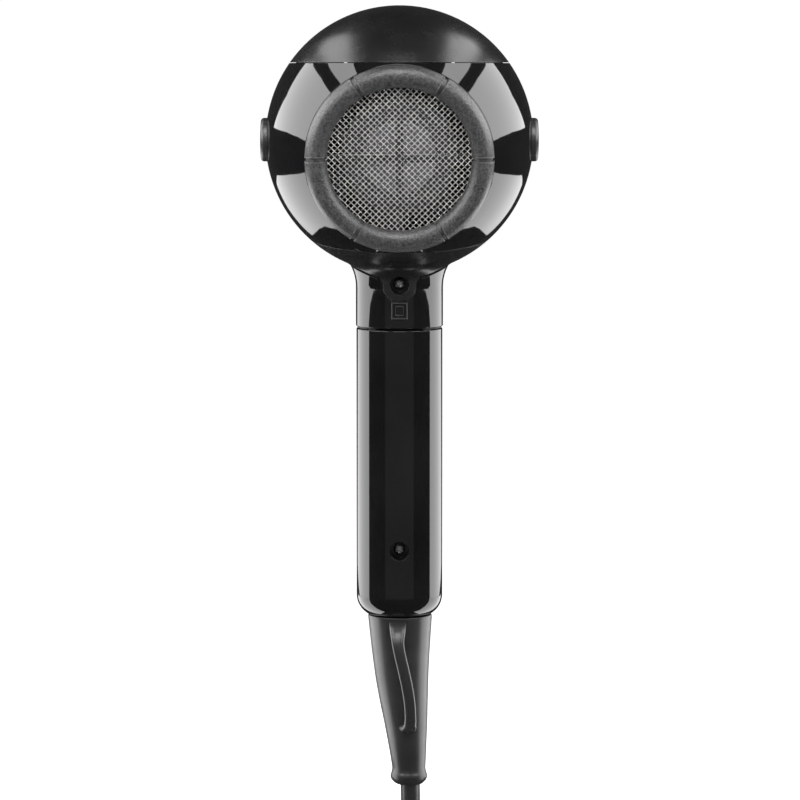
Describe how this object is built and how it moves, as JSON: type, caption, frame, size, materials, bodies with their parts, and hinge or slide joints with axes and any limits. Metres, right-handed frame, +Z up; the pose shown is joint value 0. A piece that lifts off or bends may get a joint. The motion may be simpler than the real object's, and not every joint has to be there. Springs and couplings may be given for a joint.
{
  "type": "travel hair dryer",
  "caption": "Travel hair dryer with a ball-shaped barrel, round mesh air intake, straight round handle that folds at the neck, boot with hanging loop, and cord with a two-pin plug.",
  "frame": {"origin": "middle of the grip, on the axis of the round handle", "axes": "+Z up along the handle towards the barrel, +Y towards the air outlet, +X to the right when looking at the air intake"},
  "size_m": [0.1674, 0.1922, 0.3473],
  "materials": {
    "soft_touch_black": "satin soft-touch coating",
    "gloss_black": "high gloss",
    "grained_black": "fine spark-eroded grain",
    "moulded_black": "plain moulded",
    "rubber_black": "smooth matt rubber",
    "cord_black": "satin PVC",
    "plug_black": "satin PVC",
    "mesh_steel": "drawn wire",
    "screw_steel": "nickel plated",
    "pin_nickel": "nickel plated",
    "motor_steel": "zinc plated",
    "core_steel": "laminated",
    "magnet_grey": "ferrite",
    "copper": "worn copper",
    "fan_grey": "satin moulded",
    "control_grey": "satin moulded",
    "mica": "mica sheet",
    "heater_wire": "oxidised nickel-chrome",
    "fuse_white": "glazed",
    "board_green": "solder resist",
    "capacitor_yellow": "moulded box",
    "wire_black": "silicone sleeve",
    "strap_black": "hook-and-loop strap"
  },
  "bodies": {
    "handle": {"handle_rear": "gloss_black", "handle_front": "gloss_black", "handle_screw": "screw_steel", "hinge_pin": "screw_steel", "speed_switch": "moulded_black", "cool_switch": "moulded_black", "voltage_switch": "moulded_black", "circuit_board": "board_green", "suppressor_capacitor": "capacitor_yellow", "cord_clamp": "moulded_black", "clamp_screws": "screw_steel", "cord_inner": "cord_black", "handle_wires": "wire_black", "cord_boot": "rubber_black", "cord": "cord_black", "cord_coil": "cord_black", "cord_tail": "cord_black", "cord_tie": "strap_black", "plug_body": "plug_black", "plug_pins": "pin_nickel"},
    "head": {"barrel_housing": "soft_touch_black", "rear_band": "gloss_black", "neck_shell": "gloss_black", "neck_screw": "screw_steel", "side_cap_left": "rubber_black", "side_cap_right": "rubber_black", "cover_screws": "screw_steel", "motor_mount": "moulded_black", "motor_case": "motor_steel", "motor_bearings": "copper", "motor_end_cap": "moulded_black", "motor_magnets": "magnet_grey", "rectifier_board": "board_green", "mica_tube": "mica", "mica_board_flat": "mica", "mica_board_upright": "mica", "heater_coils": "heater_wire", "thermostat": "motor_steel", "thermal_fuse": "fuse_white", "outlet_grille": "moulded_black", "head_wires": "wire_black"},
    "rotor": {"fan": "fan_grey", "motor_shaft": "screw_steel", "armature": "core_steel", "commutator": "copper"},
    "filter": {"filter_ring": "grained_black", "filter_mesh": "mesh_steel", "filter_frame": "moulded_black"},
    "speed_slider": {"speed_slider": "control_grey"},
    "cool_button": {"cool_button": "control_grey"},
    "voltage_dial": {"voltage_dial": "control_grey"}
  },
  "joints": [
    {"name": "head_fold", "type": "hinge", "parent": "handle", "child": "head", "pos_m": [0, 0.016, 0.05285], "axis": [-1, 0, 0], "range_deg": [0, 100]},
    {"name": "fan_spin", "type": "hinge", "parent": "head", "child": "rotor", "pos_m": [0, 0.00012, 0.11901], "axis": [0, 0.9925, 0.1219], "continuous": true},
    {"name": "filter_pull", "type": "slide", "parent": "head", "child": "filter", "axis": [0, -0.9925, -0.1219], "range_m": [0, 0.014]},
    {"name": "speed_slide", "type": "slide", "parent": "handle", "child": "speed_slider", "axis": [0, 0, 1], "range_m": [0, 0.008]},
    {"name": "cool_press", "type": "slide", "parent": "handle", "child": "cool_button", "axis": [0, -1, 0], "range_m": [0, 0.002], "stiffness_N_per_m": 800, "springref_m": -0.0005},
    {"name": "dial_turn", "type": "hinge", "parent": "handle", "child": "voltage_dial", "pos_m": [0, 0.0148, -0.008], "axis": [0, 1, 0], "range_deg": [0, 90]}
  ]
}
